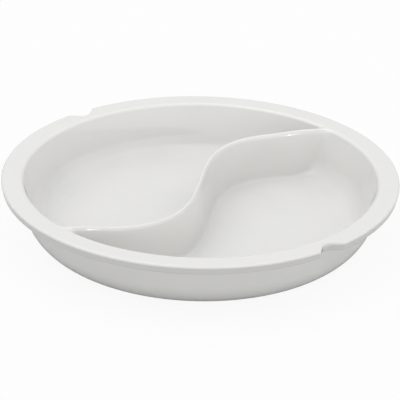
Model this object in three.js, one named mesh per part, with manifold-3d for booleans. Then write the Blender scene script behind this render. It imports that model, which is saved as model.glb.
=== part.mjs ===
// Divided buffet insert: a round porcelain bowl with a flat rim, a finger notch on two opposite sides
// of the rim and an S-shaped wall that parts the inside into two comma-shaped compartments.
// Millimetres, +Z up. The origin is the centre of the foot's contact plane. +X runs along the chord
// from one end of the S-shaped wall to the other.

import * as THREE from 'three';
import { mergeVertices } from 'three/addons/utils/BufferGeometryUtils.js';
import Module from 'manifold-3d';

// Bowl sizes
const OPENING_RADIUS = 174;
const INSIDE_DEPTH = 50;
const WALL_THICKNESS = 8;
const WALL_DRAFT_DEG = 17;
const FLOOR_THICKNESS = 8;
const COVE_RADIUS = 28;
const OUTER_CORNER_RADIUS = 39;

// Rim sizes
const RIM_WIDTH = 21;
const RIM_THICKNESS = 9;
const RIM_INNER_ROUND = 4;
const RIM_UPPER_ROUND = 1;
const RIM_LOWER_ROUND = 7.5;
const RIM_REBATE = 1;
const UNDER_RIM_FILLET = 3;

// Finger notch sizes: the side's lean is from the rim's edge, and the angle is from the divider's chord
const NOTCH_RADIUS = 10;
const NOTCH_DEPTH = 10.5;
const NOTCH_SIDE_DEG = 42;
const NOTCH_ANGLE_DEG = 85.2;
const NOTCH_COUNT = 2;

// Foot sizes: the step is how far the outer corner's lowest ring stays above the table
const FOOT_HEIGHT = 6;
const FOOT_WIDTH = 12;
const FOOT_STEP = 1.5;
const FOOT_INSET = 5;
const FOOT_EDGE_ROUND = 1.2;

// Divider sizes: the crest lies below the rim and climbs to it over the rise length at each end
const DIVIDER_SWING = 40;
const CREST_THICKNESS = 4.6;
const CREST_DROP = 3;
const CREST_RISE_LENGTH = 45;
const DIVIDER_DRAFT_DEG = 6.5;
const DIVIDER_FILLET = 5;

// Clearance between turned or cut neighbours
const JOINT_CLEARANCE = 0.3;

// Fineness of the facets, and how far a cutting body runs past what it cuts
const TURN_SEGMENTS = 80;
const LARGE_ARC_STEPS = 7;
const SMALL_ARC_STEPS = 3;
const DIVIDER_STEPS = 84;
const DIVIDER_ROWS = 8;
const NOTCH_STEPS = 12;
const CUT_MARGIN = 2;

// Heights above the table
const floorTop = FOOT_HEIGHT + FLOOR_THICKNESS;
const totalHeight = floorTop + INSIDE_DEPTH;
const rimUnderside = totalHeight - RIM_THICKNESS;
const wallTop = rimUnderside + RIM_REBATE;

// Straight faces of the wall, inside and outside, as radius against height
const rimRadius = OPENING_RADIUS + RIM_WIDTH;
const draft = THREE.MathUtils.degToRad(WALL_DRAFT_DEG);
const innerFace = (z) => OPENING_RADIUS - (totalHeight - z) * Math.tan(draft);
const outerFace = (z) => innerFace(z) + WALL_THICKNESS / Math.cos(draft);

// Centres of the arcs in the bowl's turned profile
const coveZ = floorTop + COVE_RADIUS;
const coveR = innerFace(coveZ) - COVE_RADIUS / Math.cos(draft);
const cornerZ = FOOT_STEP + OUTER_CORNER_RADIUS;
const cornerR = outerFace(cornerZ) - OUTER_CORNER_RADIUS / Math.cos(draft);
const edgeZ = totalHeight - RIM_INNER_ROUND;
const edgeR = innerFace(edgeZ) + RIM_INNER_ROUND / Math.cos(draft);
const filletZ = rimUnderside - UNDER_RIM_FILLET;
const filletR = outerFace(filletZ) + UNDER_RIM_FILLET / Math.cos(draft);

// The foot stands a little outside the lowest ring of the outer corner
const footOuter = cornerR + FOOT_INSET;
const footInner = footOuter - FOOT_WIDTH;

const point = (r, z) => new THREE.Vector2(r, z);

// Points of an arc in a profile, from one angle to another, in degrees
function arc(r, z, radius, fromDeg, toDeg, steps) {
  const points = [];
  for (let i = 0; i <= steps; i++) {
    const angle = THREE.MathUtils.degToRad(fromDeg + ((toDeg - fromDeg) * i) / steps);
    points.push(point(r + radius * Math.cos(angle), z + radius * Math.sin(angle)));
  }
  return points;
}

// Inside of the bowl from the floor's edge to the rim's top, set in by a clearance
function insideProfile(clearance) {
  const coveArc = COVE_RADIUS - clearance;
  const edgeArc = RIM_INNER_ROUND + clearance;
  return {
    cove: arc(coveR, coveZ, coveArc, -90, -WALL_DRAFT_DEG, LARGE_ARC_STEPS),
    edge: arc(edgeR, edgeZ, edgeArc, 180 - WALL_DRAFT_DEG, 90, SMALL_ARC_STEPS),
  };
}

const inside = insideProfile(0);

// Angle on the outer corner's arc at the height where the wall sits on the foot, in degrees
const seatAngle = THREE.MathUtils.radToDeg(Math.asin((FOOT_HEIGHT - cornerZ) / OUTER_CORNER_RADIUS));

// A body turned about the Z axis from a profile of radius and height
function turned(profile) {
  const geometry = new THREE.LatheGeometry(profile, TURN_SEGMENTS);
  geometry.rotateX(Math.PI / 2);
  return geometry;
}

// A ring turned from a profile that closes on itself
function turnedRing(profile) {
  return turned([...profile, profile[0].clone()]);
}

// Solid bodies for cutting
const wasm = await Module();
wasm.setup();

function solidFrom(geometry) {
  geometry.deleteAttribute('normal');
  geometry.deleteAttribute('uv');
  const merged = mergeVertices(geometry, 1e-3);
  const mesh = new wasm.Mesh({
    numProp: 3,
    vertProperties: new Float32Array(merged.getAttribute('position').array),
    triVerts: new Uint32Array(merged.getIndex().array),
  });
  return new wasm.Manifold(mesh);
}

function geometryFrom(solid) {
  const mesh = solid.getMesh();
  const geometry = new THREE.BufferGeometry();
  geometry.setAttribute('position', new THREE.BufferAttribute(mesh.vertProperties, 3));
  geometry.setIndex(new THREE.BufferAttribute(mesh.triVerts, 1));
  geometry.computeVertexNormals();
  return geometry;
}

// Foot: the ring that the insert stands on, flat on top, where the floor and the wall sit on it
function footRing() {
  const startAngle = -THREE.MathUtils.radToDeg(Math.acos(FOOT_INSET / OUTER_CORNER_RADIUS));
  const round = FOOT_EDGE_ROUND;
  return turnedRing([
    point(footInner, FOOT_HEIGHT),
    ...arc(footInner + round, round, round, 180, 270, SMALL_ARC_STEPS),
    ...arc(footOuter - round, round, round, 270, 360, SMALL_ARC_STEPS),
    ...arc(cornerR, cornerZ, OUTER_CORNER_RADIUS, startAngle, seatAngle, SMALL_ARC_STEPS),
  ]);
}

// Floor: a flat disc that ends where the cove of the wall begins
function bowlFloor() {
  const radius = coveR - JOINT_CLEARANCE / 2;
  return turned([
    point(0, FOOT_HEIGHT),
    point(radius, FOOT_HEIGHT),
    point(radius, floorTop),
    point(0, floorTop),
  ]);
}

// Wall: cove and sloping face inside, rounded corner outside, a small fillet under the rim
function bowlWall() {
  const bore = coveR + JOINT_CLEARANCE / 2;
  return turnedRing([
    point(bore, FOOT_HEIGHT),
    ...arc(cornerR, cornerZ, OUTER_CORNER_RADIUS, seatAngle, -WALL_DRAFT_DEG, LARGE_ARC_STEPS),
    ...arc(filletR, filletZ, UNDER_RIM_FILLET, 180 - WALL_DRAFT_DEG, 90, SMALL_ARC_STEPS),
    point(filletR, wallTop),
    point(innerFace(wallTop), wallTop),
    ...inside.cove.slice(1).reverse(),
    point(bore, floorTop),
  ]);
}

// Cutter of one finger notch: an upright bar with a round nose and slanting sides that bites into the
// rim's outer edge
function notchCutter(angleDeg) {
  const noseR = rimRadius - NOTCH_DEPTH + NOTCH_RADIUS;
  const nose = arc(noseR, 0, NOTCH_RADIUS, 180 - NOTCH_SIDE_DEG, 180 + NOTCH_SIDE_DEG, NOTCH_STEPS);
  const backR = rimRadius + CUT_MARGIN;
  const flare = (backR - nose[0].x) / Math.tan(THREE.MathUtils.degToRad(NOTCH_SIDE_DEG));
  const backHalf = nose[0].y + flare;
  const outline = new THREE.Shape([...nose, point(backR, -backHalf), point(backR, backHalf)]);
  const height = RIM_THICKNESS + 2 * CUT_MARGIN;
  const geometry = new THREE.ExtrudeGeometry(outline, { depth: height, bevelEnabled: false });
  geometry.translate(0, 0, rimUnderside - CUT_MARGIN);
  geometry.rotateZ(THREE.MathUtils.degToRad(angleDeg));
  return geometry;
}

// Rim: a flat flange with the finger notches cut, rounded towards the opening and at its outer edge,
// there more below than above. A shallow rebate under it sits over the top of the wall.
function rimFlange() {
  const upper = RIM_UPPER_ROUND;
  const lower = RIM_LOWER_ROUND;
  const rebateR = filletR + JOINT_CLEARANCE;
  let rim = solidFrom(turnedRing([
    point(innerFace(wallTop), wallTop),
    point(rebateR, wallTop),
    point(rebateR, rimUnderside),
    ...arc(rimRadius - lower, rimUnderside + lower, lower, -90, 0, SMALL_ARC_STEPS),
    ...arc(rimRadius - upper, totalHeight - upper, upper, 0, 90, SMALL_ARC_STEPS),
    ...inside.edge.slice().reverse(),
  ]));
  for (let i = 0; i < NOTCH_COUNT; i++) {
    const angleDeg = NOTCH_ANGLE_DEG + (360 * i) / NOTCH_COUNT;
    rim = rim.subtract(solidFrom(notchCutter(angleDeg)));
  }
  return geometryFrom(rim);
}

// The divider's centre line in plan: one whole wave that ends on the wall, halfway down
const halfWave = innerFace(floorTop + INSIDE_DEPTH / 2);
const sway = (x) => DIVIDER_SWING * Math.sin((Math.PI * x) / halfWave);
const swaySlope = (x) => ((DIVIDER_SWING * Math.PI) / halfWave) * Math.cos((Math.PI * x) / halfWave);

// Height of the divider's crest above the floor along the chord
function crestHeight(x) {
  const toRim = OPENING_RADIUS - Math.abs(x);
  return INSIDE_DEPTH - CREST_DROP * THREE.MathUtils.smoothstep(toRim, 0, CREST_RISE_LENGTH);
}

// Distance from a point of the room inside the bowl to the nearest of its floor, cove and wall
function distanceToBowl(r, z) {
  const angleDeg = THREE.MathUtils.radToDeg(Math.atan2(z - coveZ, r - coveR));
  if (angleDeg > -90 && angleDeg < -WALL_DRAFT_DEG) {
    return COVE_RADIUS - Math.hypot(r - coveR, z - coveZ);
  }
  return Math.min(z - floorTop, (innerFace(z) - r) * Math.cos(draft));
}

// How far the divider's side swells as it nears the bowl, so that a round fillet joins the two
function filletSwell(distance) {
  const radius = DIVIDER_FILLET;
  const reach = radius - THREE.MathUtils.clamp(distance, 0, radius);
  return radius - Math.sqrt(radius ** 2 - reach ** 2);
}

// Cross section of the divider before its fillets: tapered sides, in rows that lie closer together
// near the floor, and a round crest
function dividerSection() {
  const halfCrest = CREST_THICKNESS / 2;
  const crestCentre = INSIDE_DEPTH - halfCrest;
  const taper = Math.tan(THREE.MathUtils.degToRad(DIVIDER_DRAFT_DEG));
  const halfThickness = (up) => halfCrest + (crestCentre - up) * taper;
  const side = [point(halfThickness(0), -CUT_MARGIN)];
  for (let row = 0; row < DIVIDER_ROWS; row++) {
    const up = crestCentre * (row / DIVIDER_ROWS) ** 2;
    side.push(point(halfThickness(up), up));
  }
  const otherSide = side.map((p) => point(-p.x, p.y)).reverse();
  const crest = arc(0, crestCentre, halfCrest, 0, 180, 2 * SMALL_ARC_STEPS);
  return new THREE.Shape([...side, ...crest, ...otherSide]);
}

// A straight length of the section, bent along the S and swollen where it meets the bowl
function bentDivider() {
  const reach = edgeR + CUT_MARGIN;
  const geometry = new THREE.ExtrudeGeometry(dividerSection(), {
    depth: 2 * reach,
    steps: DIVIDER_STEPS,
    bevelEnabled: false,
  });
  const position = geometry.getAttribute('position');
  for (let i = 0; i < position.count; i++) {
    const across = position.getX(i);
    const along = position.getZ(i) - reach;
    const z = floorTop + (position.getY(i) * crestHeight(along)) / INSIDE_DEPTH;
    const toBowl = distanceToBowl(Math.hypot(along, sway(along)), z);
    const side = across + Math.sign(across) * filletSwell(toBowl);
    const slope = swaySlope(along);
    const length = Math.hypot(1, slope);
    position.setXYZ(i, along - (slope * side) / length, sway(along) + side / length, z);
  }
  return geometry;
}

// The room inside the bowl, a clearance away from the wall and the rim's edge but down to the floor
function bowlRoom() {
  const room = insideProfile(JOINT_CLEARANCE);
  const top = totalHeight + CUT_MARGIN;
  return turned([
    point(0, floorTop),
    point(coveR - JOINT_CLEARANCE, floorTop),
    ...room.cove,
    ...room.edge,
    point(edgeR, top),
    point(0, top),
  ]);
}

// Divider: the bent wall, trimmed to the room inside the bowl
function dividerWall() {
  return geometryFrom(solidFrom(bentDivider()).intersect(solidFrom(bowlRoom())));
}

const glaze = { color: 0xf1f0ec, roughness: 0.12, metalness: 0 };
const bareClay = { color: 0xe7e1d6, roughness: 0.85, metalness: 0 };

function piece(name, geometry, finish) {
  const mesh = new THREE.Mesh(geometry, new THREE.MeshStandardMaterial(finish));
  mesh.name = name;
  return mesh;
}

const insert = new THREE.Group();
insert.add(
  piece('foot_ring', footRing(), bareClay),
  piece('bowl_floor', bowlFloor(), glaze),
  piece('bowl_wall', bowlWall(), glaze),
  piece('rim_flange', rimFlange(), glaze),
  piece('divider_wall', dividerWall(), glaze),
);

export default insert;
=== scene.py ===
import math

import bpy
import numpy as np
from mathutils import Matrix, Vector


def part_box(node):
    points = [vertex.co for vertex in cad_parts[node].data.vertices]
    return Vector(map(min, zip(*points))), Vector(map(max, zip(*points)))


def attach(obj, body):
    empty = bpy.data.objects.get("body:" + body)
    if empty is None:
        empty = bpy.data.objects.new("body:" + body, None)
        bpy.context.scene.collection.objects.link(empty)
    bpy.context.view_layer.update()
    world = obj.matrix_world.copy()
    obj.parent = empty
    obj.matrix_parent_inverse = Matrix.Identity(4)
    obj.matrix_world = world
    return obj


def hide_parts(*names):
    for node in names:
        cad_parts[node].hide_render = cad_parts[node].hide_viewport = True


# Divided buffet insert: a round porcelain bowl with a flat rim and an S-shaped wall across it.
# Metres, +Z up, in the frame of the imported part.

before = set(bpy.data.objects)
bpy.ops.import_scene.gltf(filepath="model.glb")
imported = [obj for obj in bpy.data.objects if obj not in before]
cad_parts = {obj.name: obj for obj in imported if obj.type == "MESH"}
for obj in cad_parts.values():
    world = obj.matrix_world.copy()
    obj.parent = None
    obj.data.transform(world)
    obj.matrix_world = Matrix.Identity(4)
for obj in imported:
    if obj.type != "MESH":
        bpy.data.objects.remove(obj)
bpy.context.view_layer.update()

MM = 0.001

# Heights and radii that the frame gives. The floor and the wall sit on the foot at the seat.
rim_low, rim_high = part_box("rim_flange")
RIM_RADIUS = rim_high.x
RIM_TOP = rim_high.z
RIM_UNDERSIDE = rim_low.z
WALL_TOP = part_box("bowl_wall")[1].z
FLOOR_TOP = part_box("bowl_floor")[1].z
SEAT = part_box("foot_ring")[1].z
INSIDE_DEPTH = RIM_TOP - FLOOR_TOP

# Bowl and foot sizes
WALL_THICKNESS = 8 * MM
WALL_DRAFT_DEG = 17
COVE_RADIUS = 28 * MM
OUTER_CORNER_RADIUS = 39 * MM
FOOT_WIDTH = 12 * MM
FOOT_STEP = 1.5 * MM
FOOT_INSET = 5 * MM
FOOT_EDGE_ROUND = 1.2 * MM

# Rim sizes. The outer edge is rounded above and slants in below, to a round that is a share of the
# slant's height. In the notches, where the rim is narrow, the slant gets lower, so that a flat of the
# least width is left under the rim.
RIM_WIDTH = 21 * MM
RIM_INNER_ROUND = 4 * MM
RIM_UPPER_ROUND = 2 * MM
RIM_SLANT_HEIGHT = 6.5 * MM
RIM_SLANT_DEG = 12
RIM_SLANT_ROUND_SHARE = 0.35
RIM_LEAST_FLAT = 0.3 * MM
UNDER_RIM_FILLET = 3 * MM

# Finger notch sizes
NOTCH_RADIUS = 10 * MM
NOTCH_DEPTH = 10.5 * MM
NOTCH_SIDE_DEG = 42
NOTCH_MOUTH_ROUND = 5 * MM
NOTCH_ANGLE_DEG = 85.2
NOTCH_COUNT = 2

# Divider sizes
DIVIDER_SWING = 40 * MM
CREST_HALF_THICKNESS = 2.1 * MM
CREST_FLAT = 0.2 * MM
CREST_ROUND_DEPTH = 5.5 * MM
CREST_DROP = 3 * MM
CREST_RISE_LENGTH = 45 * MM
DIVIDER_DRAFT_DEG = 6.5
DIVIDER_FOOT_FILLET = 4.5 * MM
SHARP_CORNER_FILLET = 4 * MM
WIDE_CORNER_FILLET = 14 * MM
CORNER_LEAD = 3 * MM
ROOT_DEPTH = 1.5 * MM

# How thick the glaze lies: below zero where it draws thin over an edge, above zero where it pools. The
# rim's lower edge takes the most, as painted shade on that band, which faces down.
RIM_EDGE_PAINTED_SHADE = 2.0
RIM_TOP_EDGE_GLAZE = -1.0
RIM_INNER_GLAZE = -0.6
UNDER_RIM_GLAZE = 0.3
COVE_GLAZE = 0.15
DIVIDER_FOOT_GLAZE = 0.4

# Fineness of the meshes
TURN_COLUMNS = 288
LARGE_ARC_STEPS = 20
SMALL_ARC_STEPS = 8
DIVIDER_MAIN_STEPS = 150
DIVIDER_ARC_STEPS = 12
DIVIDER_COVE_ROWS = 18
DIVIDER_SIDE_ROWS = 8
DIVIDER_CREST_ROWS = 10
SAME_PLACE = 1e-9

# Search for the divider's corners: the shares of the opening's radius that it starts between
SEARCH_NEAR = 0.3
SEARCH_FAR = 1.15
SEARCH_HALVINGS = 50

# Glaze and clay colours as red, green, blue and opacity
GLAZE_THIN = (0.717, 0.713, 0.7, 1)
GLAZE_BODY = (0.7, 0.696, 0.682, 1)
# Pooled glaze and painted shade: made dark enough to shade the rim's lower edge, and it also deepens the
# hollows where glaze pools
GLAZE_POOLED_AND_SHADE = (0.580, 0.576, 0.563, 1)
BARE_CLAY = (0.74, 0.69, 0.61, 1)

# Noises of the finish: their bumps to a metre, and the finer layers over them
GLAZE_WAVE = {"Scale": 26.0, "Detail": 1.0}
GLAZE_PEEL = {"Scale": 260.0, "Detail": 2.0}
GLAZE_CLOUD = {"Scale": 18.0, "Detail": 3.0}
CLAY_GRAIN = {"Scale": 900.0, "Detail": 3.0}

# Glaze and clay finish. The glaze's colour goes from thin to pooled and painted shade over the least to
# the most that it lies, with the body's own colour at its stop between them.
GLAZE_RIPPLE_HEIGHT = 0.12 * MM
GLAZE_PEEL_SHARE = 0.04
GLAZE_CLOUD_SHARE = 0.9
GLAZE_CLOUD_LEAST = 0.25
GLAZE_CLOUD_MOST = 0.75
GLAZE_ROUGHNESS_LEAST = 0.015
GLAZE_ROUGHNESS_MOST = 0.04
GLAZE_LIE_LEAST = -1.0
GLAZE_LIE_MOST = 2.0
GLAZE_BODY_STOP = 0.5
GLAZE_IOR = 1.6
CLAY_ROUGHNESS = 0.85
CLAY_GRAIN_HEIGHT = 0.05 * MM
BARE_BAND_HEIGHT = 1.3 * MM
BARE_BAND_SHARP_SHARE = 0.8
BARE_BAND_WANDER = 0.4 * MM

# Camera: where the photograph was taken from, counted from the centre of the rim's top
VIEW_AZIMUTH_DEG = -44.7
VIEW_ELEVATION_DEG = 25.39
VIEW_DISTANCE = 2.7
VIEW_ROLL_DEG = 1.065
AIM_DROP = 23.7 * MM
LENS_MM = 247.98
SENSOR_MM = 36.0

# Table: a wide pale sheet. The camera sees it lifted towards white, with the shadow kept.
TABLE_SIZE = 14.0
TABLE_TONE = (0.7, 0.7, 0.7, 1)
TABLE_LIFT = 0.92

# Room: it glows by direction. A glow is its azimuth from the camera and its elevation, in degrees,
# its sharpness and its strength, which is below zero where the room is darker.
ROOM_GLOW = (
    (0, 0, 2, 1.78),
    (0, 0, 8, 0.4),
    (0, 32, 12, -1.1),
    (35, 45, 6, 0.4),
    (90, 0, 2, 1.42),
    (-90, 45, 2, 0.85),
    (-90, 60, 6, 0.75),
    (180, 5, 3, 0.67),
)
BACKDROP = (1, 1, 1, 1)

# Panel: a broad oval lamp overhead, set back from the camera and fading towards its far end
PANEL_WIDTH = 4
PANEL_DEPTH = 4.75
PANEL_RISE = 1.3
PANEL_SET_BACK = 1.52
PANEL_POWER = 52
PANEL_FAR_END = 0.3
PANEL_FADE = 2.0

# Strips: two narrow lamps right of the camera, each at an azimuth from it and an elevation. Only the
# divider catches them, as its glints.
STRIPS_DEG = ((21.5, 3), (14.5, 13))
STRIP_WIDTH = 0.25
STRIP_HEIGHT = 0.5
STRIP_DISTANCE = 4.0
STRIP_POWER = 5.5

# Radii that follow from the sizes
OPENING_RADIUS = RIM_RADIUS - RIM_WIDTH
DRAFT = math.radians(WALL_DRAFT_DEG)


def inner_face(z):
    """Radius of the wall's sloping inside at a height."""
    return OPENING_RADIUS - (RIM_TOP - z) * math.tan(DRAFT)


def outer_face(z):
    """Radius of the wall's sloping outside at a height."""
    return inner_face(z) + WALL_THICKNESS / math.cos(DRAFT)


# Middles of the profile's arcs, edges of the foot and half the wave of the divider's S
COVE_Z = FLOOR_TOP + COVE_RADIUS
COVE_R = inner_face(COVE_Z) - COVE_RADIUS / math.cos(DRAFT)
CORNER_Z = FOOT_STEP + OUTER_CORNER_RADIUS
CORNER_R = outer_face(CORNER_Z) - OUTER_CORNER_RADIUS / math.cos(DRAFT)
EDGE_Z = RIM_TOP - RIM_INNER_ROUND
EDGE_R = inner_face(EDGE_Z) + RIM_INNER_ROUND / math.cos(DRAFT)
FILLET_Z = RIM_UNDERSIDE - UNDER_RIM_FILLET
FILLET_R = outer_face(FILLET_Z) + UNDER_RIM_FILLET / math.cos(DRAFT)
FOOT_OUTER = CORNER_R + FOOT_INSET
FOOT_INNER = FOOT_OUTER - FOOT_WIDTH
SEAT_ANGLE_DEG = math.degrees(math.asin((SEAT - CORNER_Z) / OUTER_CORNER_RADIUS))
FOOT_ANGLE_DEG = -math.degrees(math.acos(FOOT_INSET / OUTER_CORNER_RADIUS))
HALF_WAVE = inner_face(FLOOR_TOP + INSIDE_DEPTH / 2)


# A run of a profile is its points, its outward normals and how thick the glaze lies on it

def corner(r, z):
    """A run of one point, where two straight faces meet."""
    return np.array([[r, z]]), np.zeros((1, 2)), np.zeros(1)


def arc(r, z, radius, from_deg, to_deg, steps, glaze=0.0):
    """A run along an arc, its glaze at the full value half way along. The profile goes round its solid
    with the solid on the left."""
    turn = np.radians(np.linspace(from_deg, to_deg, steps + 1))
    spoke = np.stack([np.cos(turn), np.sin(turn)], axis=1)
    swell = np.sin(np.linspace(0, np.pi, steps + 1))
    return np.array([r, z]) + radius * spoke, spoke * np.sign(to_deg - from_deg), glaze * swell


def straight(start, end):
    """A run along a straight face."""
    along = (end - start) / np.linalg.norm(end - start)
    normal = np.array([along[1], -along[0]])
    return np.array([start, end]), np.array([normal, normal]), np.zeros(2)


def profile(*runs, closed=True):
    """The runs given, with a straight run wherever one ends away from where the next begins."""
    chain = list(runs) + ([runs[0]] if closed else [])
    joined = []
    for here, following in zip(chain, chain[1:] + [None]):
        if len(here[0]) > 1 and not (closed and following is None):
            joined.append(here)
        if following is not None:
            start, end = here[0][-1], following[0][0]
            if np.linalg.norm(end - start) > SAME_PLACE:
                joined.append(straight(start, end))
    return joined


def turned(runs):
    """Strips of a skin, turned about the Z axis from the runs of a profile."""
    turn = np.linspace(0, 2 * np.pi, TURN_COLUMNS, endpoint=False)
    cosine, sine = np.cos(turn), np.sin(turn)

    def sweep(pairs):
        across, up = pairs[:, :1], pairs[:, 1:]
        return np.stack([across * cosine, across * sine, up + 0 * turn], axis=2)

    return [(sweep(points), sweep(normals), glaze) for points, normals, glaze in runs]


def skin(name, strips, closed=True, capped=False):
    """A mesh object from strips. A strip is rows of points with their normals and a glaze value a row
    or a point; each strip starts on the row where the one before it ends. A row whose points fall
    together becomes one point. Caps close the first and the last row, straight across from the first
    half of the row to the second."""
    rows = [row for points, _, _ in strips for row in points[:-1]]
    glaze = [value for _, _, values in strips for value in values[:-1]]
    if not closed:
        rows.append(strips[-1][0][-1])
        glaze.append(strips[-1][2][-1])
    vertices, thickness, ids = [], [], []
    for row, value in zip(rows, glaze):
        count = 1 if np.ptp(row, axis=0).max() < SAME_PLACE else len(row)
        first = len(vertices)
        ids.append(np.full(len(row), first) if count == 1 else first + np.arange(len(row)))
        vertices.extend(row[:count])
        thickness.extend(np.broadcast_to(value, len(row))[:count])
    faces, normals = [], []
    below = 0
    for points, strip_normals, _ in strips:
        for i in range(len(points) - 1):
            low, high = ids[below], ids[(below + 1) % len(ids)]
            below += 1
            for j in range(len(low)):
                k = (j + 1) % len(low)
                ring = ((low[j], i, j), (low[k], i, k), (high[k], i + 1, k), (high[j], i + 1, j))
                corners = [ring[n] for n in range(4) if ring[n][0] != ring[n - 1][0]]
                if len(corners) > 2:
                    faces.append([int(v) for v, _, _ in corners])
                    normals.extend(strip_normals[a, b] for _, a, b in corners)
    if capped:
        for ring, facing in ((ids[0], strips[0][1][0]), (ids[-1][::-1], strips[-1][1][-1][::-1])):
            for i in range(len(ring) // 2 - 1):
                corners = (i, i + 1, len(ring) - 2 - i, len(ring) - 1 - i)[::-1]
                faces.append([int(ring[n]) for n in corners])
                normals.extend(facing[n] for n in corners)
    mesh = bpy.data.meshes.new(name)
    mesh.from_pydata([tuple(v) for v in vertices], [], faces, shade_flat=False)
    lie = mesh.attributes.new("glaze", "FLOAT", "POINT")
    lie.data.foreach_set("value", np.array(thickness, np.float32))
    mesh.normals_split_custom_set([tuple(n) for n in normals])
    piece = bpy.data.objects.new(name, mesh)
    bpy.context.scene.collection.objects.link(piece)
    return piece


def foot_ring():
    """The ring that the insert stands on, with the lowest band of the bowl's outside."""
    round_ = FOOT_EDGE_ROUND
    return skin("porcelain_foot", turned(profile(
        corner(FOOT_INNER, SEAT),
        arc(FOOT_INNER + round_, round_, round_, 180, 270, SMALL_ARC_STEPS),
        arc(FOOT_OUTER - round_, round_, round_, 270, 360, SMALL_ARC_STEPS),
        arc(CORNER_R, CORNER_Z, OUTER_CORNER_RADIUS, FOOT_ANGLE_DEG, SEAT_ANGLE_DEG, SMALL_ARC_STEPS),
    )))


def bowl_floor():
    """The flat disc between the coves."""
    return skin("porcelain_floor", turned(profile(
        corner(0, SEAT),
        corner(COVE_R, SEAT),
        corner(COVE_R, FLOOR_TOP),
        corner(0, FLOOR_TOP),
        closed=False,
    )), closed=False)


def bowl_wall():
    """Cove and sloping face inside, rounded corner outside and a small fillet under the rim."""
    slope = WALL_DRAFT_DEG
    return skin("porcelain_wall", turned(profile(
        corner(COVE_R, SEAT),
        arc(CORNER_R, CORNER_Z, OUTER_CORNER_RADIUS, SEAT_ANGLE_DEG, -slope, LARGE_ARC_STEPS),
        arc(FILLET_R, FILLET_Z, UNDER_RIM_FILLET, 180 - slope, 90, SMALL_ARC_STEPS, UNDER_RIM_GLAZE),
        corner(FILLET_R, WALL_TOP),
        corner(inner_face(WALL_TOP), WALL_TOP),
        arc(COVE_R, COVE_Z, COVE_RADIUS, -slope, -90, LARGE_ARC_STEPS, COVE_GLAZE),
    )))


def rim_outline():
    """Plan points of the rim's outer edge, and the normals there, with the finger notches. A notch has
    a round bottom and slanting sides, and its mouth is rounded into the rim."""
    lean = math.radians(NOTCH_SIDE_DEG)
    along = np.array([math.sin(lean), math.cos(lean)])
    facing = np.array([math.cos(lean), -math.sin(lean)])
    bottom = np.array([RIM_RADIUS - NOTCH_DEPTH + NOTCH_RADIUS, 0.0])
    start = bottom - (NOTCH_RADIUS + NOTCH_MOUTH_ROUND) * facing
    lead = start @ along
    gap = start @ start - (RIM_RADIUS - NOTCH_MOUTH_ROUND) ** 2
    mouth = start + (math.sqrt(lead**2 - gap) - lead) * along
    mouth_angle = math.atan2(mouth[1], mouth[0])
    points, normals = [], []

    def add(middle, radius, turn, sign, rotation):
        spoke = np.stack([np.cos(turn), np.sin(turn)], axis=1)
        points.append((middle + radius * spoke) @ rotation.T)
        normals.append(sign * spoke @ rotation.T)

    pitch = 2 * np.pi / NOTCH_COUNT
    fine, coarse = 2 * SMALL_ARC_STEPS, TURN_COLUMNS // NOTCH_COUNT
    for n in range(NOTCH_COUNT):
        a = math.radians(NOTCH_ANGLE_DEG) + n * pitch
        rotation = np.array([[math.cos(a), -math.sin(a)], [math.sin(a), math.cos(a)]])
        add(mouth * (1, -1), NOTCH_MOUTH_ROUND, np.linspace(-mouth_angle, lean, fine), 1, rotation)
        add(bottom, NOTCH_RADIUS, np.linspace(np.pi + lean, np.pi - lean, 2 * fine), -1, rotation)
        add(mouth, NOTCH_MOUTH_ROUND, np.linspace(-lean, mouth_angle, fine, endpoint=False), 1, rotation)
        plain = np.linspace(mouth_angle, pitch - mouth_angle, coarse, endpoint=False)
        add(np.zeros(2), RIM_RADIUS, plain, 1, rotation)
    return np.concatenate(points), np.concatenate(normals)


def slanting_edge():
    """Run of the rim's lower edge, one high and one wide: a round and then a face that slants out."""
    slant, radius = math.radians(RIM_SLANT_DEG), RIM_SLANT_ROUND_SHARE
    middle = 1 - (1 - radius) * math.tan(slant) - radius / math.cos(slant)
    points, normals, _ = arc(middle, radius - 1, radius, -90, -RIM_SLANT_DEG, SMALL_ARC_STEPS)
    points = np.append(points, [[1, 0]], axis=0)
    normals = np.append(normals, normals[-1:], axis=0)
    # The glaze value climbs over the slant to the painted shade of the rim's lower edge
    return points, normals, np.linspace(0, RIM_EDGE_PAINTED_SHADE, len(points))


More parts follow.
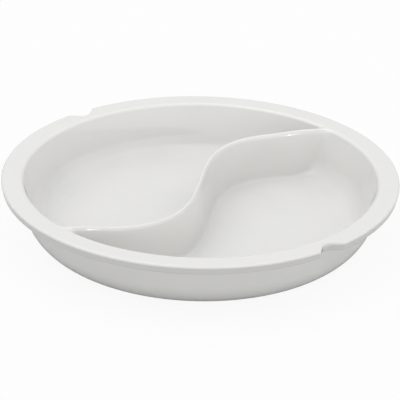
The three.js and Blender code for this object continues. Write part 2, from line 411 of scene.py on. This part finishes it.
def rim_flange():
    """The flat flange, rounded towards the opening, with its outer edge following the outline."""
    edge, out = rim_outline()
    reach = np.linalg.norm(edge, axis=1)
    ray = edge / reach[:, None]
    lean = np.sum(ray * out, axis=1)
    lower = np.minimum(RIM_SLANT_HEIGHT, reach - FILLET_R - RIM_LEAST_FLAT)
    upper = np.full(len(edge), RIM_UPPER_ROUND)

    def lift(plan, z):
        return np.concatenate([plan, np.broadcast_to(z, len(plan))[:, None]], axis=1)

    def circle_run(points, normals, glaze):
        places = np.array([lift(ray * r, z) for r, z in points])
        return places, np.array([lift(ray * r, z) for r, z in normals]), glaze

    def edge_run(middle_z, size, points, normals, glaze):
        inset = [ray * ((r - 1) * size)[:, None] for r, _ in points]
        places = [lift(edge + i, middle_z + z * size) for i, (_, z) in zip(inset, points)]
        facing = np.array([lift(out * r, z * lean) for r, z in normals])
        return np.array(places), facing / np.linalg.norm(facing, axis=2, keepdims=True), glaze

    def between(start, end, start_normal, end_normal, glaze):
        return np.array([start, end]), np.array([start_normal, end_normal]), np.array(glaze)

    top_round = arc(0, 0, 1, 0, 90, SMALL_ARC_STEPS, RIM_TOP_EDGE_GLAZE)
    below = edge_run(RIM_UNDERSIDE + lower, lower, *slanting_edge())
    above = edge_run(RIM_TOP - upper, upper, *top_round)
    inside = [circle_run(*run) for run in profile(
        arc(EDGE_R, EDGE_Z, RIM_INNER_ROUND, 90, 180 - WALL_DRAFT_DEG, SMALL_ARC_STEPS, RIM_INNER_GLAZE),
        corner(inner_face(WALL_TOP), WALL_TOP),
        corner(FILLET_R, WALL_TOP),
        corner(FILLET_R, RIM_UNDERSIDE),
        closed=False,
    )]
    flat = lift(0 * edge, 1.0)
    return skin("porcelain_rim", [
        between(inside[-1][0][-1], below[0][0], -flat, -flat, (0, 0)),
        below,
        # The painted shade of the lower edge fades out towards the upper round
        between(below[0][-1], above[0][0], below[1][-1], above[1][0], (RIM_EDGE_PAINTED_SHADE, 0)),
        above,
        between(above[0][-1], inside[0][0][0], flat, flat, (0, 0)),
        *inside,
    ])


def centre_line(x):
    """Plan point of the divider's centre line, an S over its chord, and the normal there, towards the
    back compartment."""
    wave = np.pi * x / HALF_WAVE
    slope = DIVIDER_SWING * np.pi / HALF_WAVE * np.cos(wave)
    normal = np.stack([-slope, np.ones_like(x)], axis=-1) / np.hypot(1, slope)[..., None]
    return np.stack([x, DIVIDER_SWING * np.sin(wave)], axis=-1), normal


def divider_levels():
    """Heights above the floor of the divider's rows, and its half thickness at each."""
    cove_turn = np.radians(np.linspace(0, 90 - WALL_DRAFT_DEG, DIVIDER_COVE_ROWS))
    cove = COVE_RADIUS * (1 - np.cos(cove_turn))
    crest_base = INSIDE_DEPTH - CREST_ROUND_DEPTH
    side = np.linspace(cove[-1], crest_base, DIVIDER_SIDE_ROWS)[1:-1]
    crest_turn = np.linspace(0, np.pi / 2, DIVIDER_CREST_ROWS)
    up = np.concatenate([cove, side, crest_base + CREST_ROUND_DEPTH * np.sin(crest_turn)])
    taper = math.tan(math.radians(DIVIDER_DRAFT_DEG))
    half = CREST_HALF_THICKNESS + (INSIDE_DEPTH - up) * taper
    reach = DIVIDER_FOOT_FILLET - np.minimum(up, DIVIDER_FOOT_FILLET)
    half += DIVIDER_FOOT_FILLET - np.sqrt(DIVIDER_FOOT_FILLET**2 - reach**2)
    round_width = CREST_HALF_THICKNESS - CREST_FLAT
    half[-DIVIDER_CREST_ROWS:] -= round_width * (1 - np.cos(crest_turn))
    return up, half


def bowl_inside(up):
    """Radius of the bowl's inside at heights above the floor, and its normals as radius and height."""
    z = FLOOR_TOP + up
    cone = np.array([-math.cos(DRAFT), math.sin(DRAFT)])
    radius = inner_face(z)
    normal = np.tile(cone, (len(z), 1))
    low = z < COVE_Z - COVE_RADIUS * math.sin(DRAFT)
    drop = np.clip((COVE_Z - z) / COVE_RADIUS, 0, 1)
    span = np.sqrt(1 - drop**2)
    radius = np.where(low, COVE_R + COVE_RADIUS * span, radius)
    normal = np.where(low[:, None], np.stack([-span, drop], axis=1), normal)
    high = z > EDGE_Z + RIM_INNER_ROUND * math.sin(DRAFT)
    rise = np.clip((z - EDGE_Z) / RIM_INNER_ROUND, 0, 1)
    span = np.sqrt(1 - rise**2)
    radius = np.where(high, EDGE_R - RIM_INNER_ROUND * span, radius)
    normal = np.where(high[:, None], np.stack([-span, rise], axis=1), normal)
    return radius, normal


def corner_start(half, radius, end, fillet):
    """Chord position where the front side leaves the S for the fillet into the wall, at one end."""
    near = np.full(len(half), SEARCH_NEAR * OPENING_RADIUS * end)
    far = np.full(len(half), SEARCH_FAR * OPENING_RADIUS * end)
    for _ in range(SEARCH_HALVINGS):
        middle = (near + far) / 2
        line, normal = centre_line(middle)
        centre = line - (half + fillet)[:, None] * normal
        outside = np.linalg.norm(centre, axis=1) > radius - fillet
        far = np.where(outside, middle, far)
        near = np.where(outside, near, middle)
    return near


def corner_fillet(half, start, fillet, steps):
    """Plan points of the fillet from the S to the wall, station by row."""
    line, normal = centre_line(start)
    centre = line - (half + fillet)[:, None] * normal
    first = np.arctan2(normal[:, 1], normal[:, 0])
    last = np.arctan2(centre[:, 1], centre[:, 0])
    sweep = (last - first + np.pi) % (2 * np.pi) - np.pi
    turn = first + np.linspace(0, 1, steps + 1)[:, None] * sweep
    return centre + fillet * np.stack([np.cos(turn), np.sin(turn)], axis=2)


def tangents(grid, axis):
    """Unit tangents of a grid of points along one axis, true to second order."""
    grid = np.moveaxis(grid, axis, 0)
    step = np.diff(grid, axis=0)
    length = np.linalg.norm(step, axis=2, keepdims=True)
    unit = step / length
    middle = unit[:-1] * length[1:] + unit[1:] * length[:-1]
    both = np.concatenate([unit[:1], middle, unit[-1:]])
    return np.moveaxis(both / np.linalg.norm(both, axis=2, keepdims=True), 0, axis)


def divider_side():
    """Front side of the divider as stations by rows: points, normals and glaze. From one end to the
    other it runs along the sharp corner's fillet, a lead, the main length, a tail and the wide
    corner's fillet. The crest drops on the main length alone."""
    up, half = divider_levels()
    radius, wall_normal = bowl_inside(up)
    sharp = corner_start(half, radius, -1, SHARP_CORNER_FILLET)
    wide = corner_start(half, radius, 1, WIDE_CORNER_FILLET)
    reach = np.minimum(-sharp, wide) - CORNER_LEAD
    fine = DIVIDER_ARC_STEPS

    def along(first, last, steps):
        x = first + np.linspace(0, 1, steps + 1)[:, None] * (last - first)
        line, normal = centre_line(x)
        return line - half[:, None] * normal, x

    lead, _ = along(sharp, -reach, fine)
    main, main_x = along(-reach, reach, DIVIDER_MAIN_STEPS)
    tail, _ = along(reach, wide, fine)
    before = np.concatenate([corner_fillet(half, sharp, SHARP_CORNER_FILLET, fine)[:0:-1], lead[:-1]])
    after = np.concatenate([tail[1:], corner_fillet(half, wide, WIDE_CORNER_FILLET, fine)[1:]])
    plan = np.concatenate([before, main, after])
    step = np.clip((reach - np.abs(main_x)) / CREST_RISE_LENGTH, 0, 1)
    drop = np.zeros(plan.shape[:2])
    drop[len(before):-len(after)] = CREST_DROP * step**2 * (3 - 2 * step)
    z = FLOOR_TOP + up - drop * up / INSIDE_DEPTH
    points = np.concatenate([plan, z[..., None]], axis=2)
    normals = np.cross(tangents(points, 0), tangents(points, 1))
    normals /= np.linalg.norm(normals, axis=2, keepdims=True)
    for end in (0, -1):
        ray = plan[end] / np.linalg.norm(plan[end], axis=1, keepdims=True)
        normals[end, :, :2] = ray * wall_normal[:, :1]
        normals[end, :, 2] = wall_normal[:, 1]
    normals[:, 0] = normals[:, -1] = (0, 0, 1)
    pool = np.clip(1 - up / DIVIDER_FOOT_FILLET, 0, 1)
    thin = np.clip(1 - (INSIDE_DEPTH - up) / CREST_ROUND_DEPTH, 0, 1)
    glaze = np.broadcast_to(DIVIDER_FOOT_GLAZE * np.sin(np.pi * pool) - thin, plan.shape[:2])
    return points, normals, glaze


def divider_wall():
    """The S-shaped wall. Its back is its front turned half round, and its ends and its underside run
    a little way into the bowl."""
    front, front_normals, glaze = divider_side()
    half_turn = np.array([-1.0, -1.0, 1.0])
    back, back_normals = front[::-1] * half_turn, front_normals[::-1] * half_turn
    upward = np.array([0, 0, 1.0])
    sunk = ROOT_DEPTH * upward

    def loop(b, f, below):
        return np.concatenate([b[:, :1] - below, b, f[:, ::-1], f[:, :1] - below], axis=1)

    # The lowest row's normals point straight up. Less twice that, the underside's point down.
    points = loop(back, front, sunk)
    normals = loop(back_normals, front_normals, 2 * upward)
    values = loop(glaze[::-1, :, None], glaze[:, :, None], 0)[..., 0]
    ends = points[[0, -1]]
    out = ends * (1, 1, 0) / np.linalg.norm(ends[..., :2], axis=2, keepdims=True)
    roots = ends + ROOT_DEPTH * out - sunk / 2
    points = np.concatenate([roots[:1], points, roots[1:]])
    normals = np.concatenate([-normals[:1], normals, -normals[-1:]])
    values = np.concatenate([values[:1], values, values[-1:]])
    return skin("porcelain_divider", [(points, normals, values)], closed=False, capped=True)


def new_tree(tree):
    """Clears a node tree and gives a function that adds a node with its inputs set or linked. An input
    is named, or given by its number after an underscore."""
    tree.nodes.clear()

    def add(kind, settings=(), **inputs):
        node = tree.nodes.new(kind)
        for key, value in dict(settings).items():
            setattr(node, key, value)
        for key, value in inputs.items():
            socket = node.inputs[int(key[1:]) if key[1:].isdigit() else key.replace("_", " ")]
            if isinstance(value, bpy.types.NodeSocket):
                tree.links.new(value, socket)
            else:
                socket.default_value = value
        return node

    return add


def shader_group(name, outputs):
    """A new node group with the outputs given as name and socket type."""
    group = bpy.data.node_groups.new(name, "ShaderNodeTree")
    for label, kind in outputs:
        group.interface.new_socket(label, in_out="OUTPUT", socket_type=kind)
    return group


def glaze_ripple_group():
    """Height of the glaze's surface: slow waves left by the kiln and a faint fine peel."""
    group = shader_group("glaze ripple", [("Height", "NodeSocketFloat")])
    add = new_tree(group)
    place = add("ShaderNodeTexCoord").outputs["Object"]
    slow = add("ShaderNodeTexNoise", Vector=place, **GLAZE_WAVE).outputs[0]
    fine = add("ShaderNodeTexNoise", Vector=place, **GLAZE_PEEL).outputs[0]
    height = add("ShaderNodeMath", {"operation": "MULTIPLY_ADD"}, _0=fine, _1=GLAZE_PEEL_SHARE, _2=slow)
    add("NodeGroupOutput", Height=height.outputs[0])
    return group


def glaze_tone_group():
    """Colour of the glazed body, darker where the glaze pools and with painted shade on the rim's lower
    edge, whiter where it draws thin, and how rough the glaze is. A soft cloud stirs both."""
    group = shader_group("glaze tone", [("Colour", "NodeSocketColor"), ("Roughness", "NodeSocketFloat")])
    add = new_tree(group)
    place = add("ShaderNodeTexCoord").outputs["Object"]
    lie = add("ShaderNodeAttribute", {"attribute_name": "glaze"}).outputs["Fac"]
    cloud = add("ShaderNodeTexNoise", Vector=place, **GLAZE_CLOUD).outputs[0]
    depth = add("ShaderNodeMath", {"operation": "MULTIPLY_ADD"}, _0=cloud, _1=GLAZE_CLOUD_SHARE, _2=lie)
    share = add("ShaderNodeMapRange", Value=depth.outputs[0],
                From_Min=GLAZE_LIE_LEAST, From_Max=GLAZE_LIE_MOST)
    ramp = add("ShaderNodeValToRGB", Fac=share.outputs[0])
    stops = ramp.color_ramp.elements
    stops[0].color = GLAZE_THIN
    # The last stop: pooled glaze, and the painted shade of the rim's lower edge
    stops[1].color = GLAZE_POOLED_AND_SHADE
    stops.new(GLAZE_BODY_STOP).color = GLAZE_BODY
    rough = add("ShaderNodeMapRange", Value=cloud, From_Min=GLAZE_CLOUD_LEAST, From_Max=GLAZE_CLOUD_MOST,
                To_Min=GLAZE_ROUGHNESS_LEAST, To_Max=GLAZE_ROUGHNESS_MOST)
    add("NodeGroupOutput", Colour=ramp.outputs["Color"], Roughness=rough.outputs[0])
    return group


GLAZE_RIPPLE_GROUP = glaze_ripple_group()
GLAZE_TONE_GROUP = glaze_tone_group()


def new_material(name):
    """A new material and the function that adds its nodes."""
    material = bpy.data.materials.new(name)
    material.use_nodes = True
    return material, new_tree(material.node_tree)


def glazed_surface(add):
    """Colour, roughness and normal of the glaze, for a material."""
    tone = add("ShaderNodeGroup", {"node_tree": GLAZE_TONE_GROUP})
    ripple = add("ShaderNodeGroup", {"node_tree": GLAZE_RIPPLE_GROUP})
    bump = add("ShaderNodeBump", Strength=1.0, Distance=GLAZE_RIPPLE_HEIGHT, Height=ripple.outputs[0])
    return tone.outputs[0], tone.outputs[1], bump.outputs[0]


def glazed_porcelain():
    """Clear glossy glaze all over."""
    material, add = new_material("glazed_porcelain")
    colour, roughness, normal = glazed_surface(add)
    shader = add("ShaderNodeBsdfPrincipled", Base_Color=colour, Roughness=roughness, Normal=normal,
                 IOR=GLAZE_IOR)
    add("ShaderNodeOutputMaterial", Surface=shader.outputs[0])
    return material


def bare_footed_porcelain():
    """Glaze that stops short of the table, with the bare fired clay below it."""
    material, add = new_material("bare_footed_porcelain")
    colour, roughness, normal = glazed_surface(add)
    place = add("ShaderNodeTexCoord").outputs["Object"]
    height = add("ShaderNodeSeparateXYZ", Vector=place).outputs["Z"]
    grain = add("ShaderNodeTexNoise", Vector=place, **CLAY_GRAIN).outputs[0]
    edge = add("ShaderNodeMath", {"operation": "MULTIPLY_ADD"}, _0=grain, _1=BARE_BAND_WANDER, _2=height)
    bare = add("ShaderNodeMapRange", Value=edge.outputs[0], From_Min=BARE_BAND_HEIGHT,
               From_Max=BARE_BAND_SHARP_SHARE * BARE_BAND_HEIGHT).outputs[0]
    clay = add("ShaderNodeMix", {"data_type": "RGBA"}, _0=bare, _6=colour, _7=BARE_CLAY)
    rough = add("ShaderNodeMix", _0=bare, _2=roughness, _3=CLAY_ROUGHNESS)
    rub = add("ShaderNodeMath", {"operation": "MULTIPLY"}, _0=grain, _1=bare)
    bump = add("ShaderNodeBump", Strength=1.0, Distance=CLAY_GRAIN_HEIGHT, Height=rub.outputs[0],
               Normal=normal)
    shader = add("ShaderNodeBsdfPrincipled", Base_Color=clay.outputs[2], Roughness=rough.outputs[0],
                 Normal=bump.outputs[0], IOR=GLAZE_IOR)
    add("ShaderNodeOutputMaterial", Surface=shader.outputs[0])
    return material


# Pieces
porcelain = glazed_porcelain()
footed = bare_footed_porcelain()
pieces = {}
for make, node, slot, material in (
    (foot_ring, "foot_ring", "bare_foot", footed),
    (bowl_floor, "bowl_floor", "glaze", porcelain),
    (bowl_wall, "bowl_wall", "glaze", porcelain),
    (rim_flange, "rim_flange", "glaze", porcelain),
    (divider_wall, "divider_wall", "glaze", porcelain),
):
    piece = pieces[node] = make()
    piece.data.materials.append(material)
    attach(piece, "root")
    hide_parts(node)


def pale_table():
    """The sheet that the insert stands on."""
    mesh = bpy.data.meshes.new("table")
    side = TABLE_SIZE / 2
    corners = [(-side, -side, 0), (side, -side, 0), (side, side, 0), (-side, side, 0)]
    mesh.from_pydata(corners, [], [(0, 1, 2, 3)])
    sheet = bpy.data.objects.new("table", mesh)
    bpy.context.scene.collection.objects.link(sheet)
    material, add = new_material("pale_table")
    paper = add("ShaderNodeBsdfDiffuse", Color=TABLE_TONE)
    white = add("ShaderNodeEmission", Strength=1.0)
    seen = add("ShaderNodeLightPath").outputs["Is Camera Ray"]
    lift = add("ShaderNodeMath", {"operation": "MULTIPLY"}, _0=seen, _1=TABLE_LIFT)
    lifted = add("ShaderNodeMixShader", _0=lift.outputs[0], _1=paper.outputs[0], _2=white.outputs[0])
    add("ShaderNodeOutputMaterial", Surface=lifted.outputs[0])
    mesh.materials.append(material)
    return sheet


def towards(azimuth_deg, elevation_deg):
    """Direction from the object; azimuth 0 is towards -Y and 90 towards +X."""
    a, e = math.radians(azimuth_deg), math.radians(elevation_deg)
    return Vector((math.sin(a) * math.cos(e), -math.cos(a) * math.cos(e), math.sin(e)))


def glowing_room():
    """The world: a glow by direction for the light and the reflections, and white for the camera."""
    world = bpy.data.worlds.new("studio")
    world.use_nodes = True
    add = new_tree(world.node_tree)
    facing = add("ShaderNodeTexCoord").outputs["Generated"]
    glow = 0.0
    for azimuth, elevation, sharpness, strength in ROOM_GLOW:
        axis = towards(VIEW_AZIMUTH_DEG + azimuth, elevation)
        lean = add("ShaderNodeVectorMath", {"operation": "DOT_PRODUCT"}, _0=facing, _1=axis)
        side = add("ShaderNodeMath", {"operation": "MAXIMUM"}, _0=lean.outputs["Value"], _1=0.0)
        lobe = add("ShaderNodeMath", {"operation": "POWER"}, _0=side.outputs[0], _1=sharpness)
        glow = add("ShaderNodeMath", {"operation": "MULTIPLY_ADD"}, _0=lobe.outputs[0], _1=strength,
                   _2=glow).outputs[0]
    glow = add("ShaderNodeMath", {"operation": "MAXIMUM"}, _0=glow, _1=0.0).outputs[0]
    path = add("ShaderNodeLightPath")
    through = add("ShaderNodeMath", {"operation": "MAXIMUM"}, _0=path.outputs["Is Camera Ray"],
                  _1=path.outputs["Is Transmission Ray"])
    room = add("ShaderNodeBackground", Strength=glow)
    backdrop = add("ShaderNodeBackground", Color=BACKDROP, Strength=1.0)
    mixed = add("ShaderNodeMixShader", _0=through.outputs[0], _1=room.outputs[0], _2=backdrop.outputs[0])
    add("ShaderNodeOutputWorld", Surface=mixed.outputs[0])
    return world


def stand(name, data, place, rotation):
    """A camera or lamp in the scene, at a place and turned."""
    thing = bpy.data.objects.new(name, data)
    thing.location = place
    thing.rotation_mode = "QUATERNION"
    thing.rotation_quaternion = rotation
    bpy.context.scene.collection.objects.link(thing)
    return thing


def aimed(place, aim):
    """Rotation that turns a camera or lamp at a place towards its aim."""
    return (aim - place).to_track_quat("-Z", "Y")


def photo_camera(middle):
    """The camera, aimed a little below the middle in the picture and rolled."""
    data = bpy.data.cameras.new("camera")
    data.lens = LENS_MM
    data.sensor_width = SENSOR_MM
    eye = middle + VIEW_DISTANCE * towards(VIEW_AZIMUTH_DEG, VIEW_ELEVATION_DEG)
    aim = middle - AIM_DROP * towards(VIEW_AZIMUTH_DEG + 180, 90 - VIEW_ELEVATION_DEG)
    roll = Matrix.Rotation(math.radians(VIEW_ROLL_DEG), 3, "Z")
    look = aimed(eye, aim).to_matrix() @ roll
    return stand("camera", data, eye, look.to_quaternion())


def area_light(name, shape, width, depth, power):
    """A flat lamp's light."""
    light = bpy.data.lights.new(name, "AREA")
    light.shape = shape
    light.size = width
    light.size_y = depth
    light.energy = power
    return light


def overhead_panel(middle):
    """The broad lamp that lies level above the insert, square to the camera."""
    light = area_light("panel", "ELLIPSE", PANEL_WIDTH, PANEL_DEPTH, PANEL_POWER)
    light.use_nodes = True
    add = new_tree(light.node_tree)
    across = add("ShaderNodeSeparateXYZ", Vector=add("ShaderNodeNewGeometry").outputs["Parametric"])
    fade = add("ShaderNodeMapRange", Value=across.outputs["Y"], To_Min=1.0, To_Max=PANEL_FAR_END)
    fade = add("ShaderNodeMath", {"operation": "POWER"}, _0=fade.outputs[0], _1=PANEL_FADE)
    bright = add("ShaderNodeEmission", Strength=fade.outputs[0])
    add("ShaderNodeOutputLight", Surface=bright.outputs[0])
    overhead = middle + Vector((0, 0, PANEL_RISE))
    place = overhead - PANEL_SET_BACK * towards(VIEW_AZIMUTH_DEG, 0)
    square = Matrix.Rotation(math.radians(VIEW_AZIMUTH_DEG), 3, "Z")
    return stand("panel", light, place, square.to_quaternion())


def divider_strips(middle, divider):
    """The narrow lamps that only the divider catches."""
    glinting = bpy.data.collections.new("glinting")
    glinting.objects.link(divider)
    for azimuth, elevation in STRIPS_DEG:
        light = area_light("strip", "RECTANGLE", STRIP_WIDTH, STRIP_HEIGHT, STRIP_POWER)
        place = STRIP_DISTANCE * towards(VIEW_AZIMUTH_DEG + azimuth, elevation)
        strip = stand("strip", light, place, aimed(place, middle))
        strip.light_linking.receiver_collection = glinting


# Studio
rim_middle = Vector((0, 0, RIM_TOP))
table = pale_table()
bpy.context.scene.world = glowing_room()
bpy.context.scene.camera = photo_camera(rim_middle)
bpy.context.scene.view_settings.view_transform = "Standard"
overhead_panel(rim_middle)
divider_strips(rim_middle, pieces["divider_wall"])
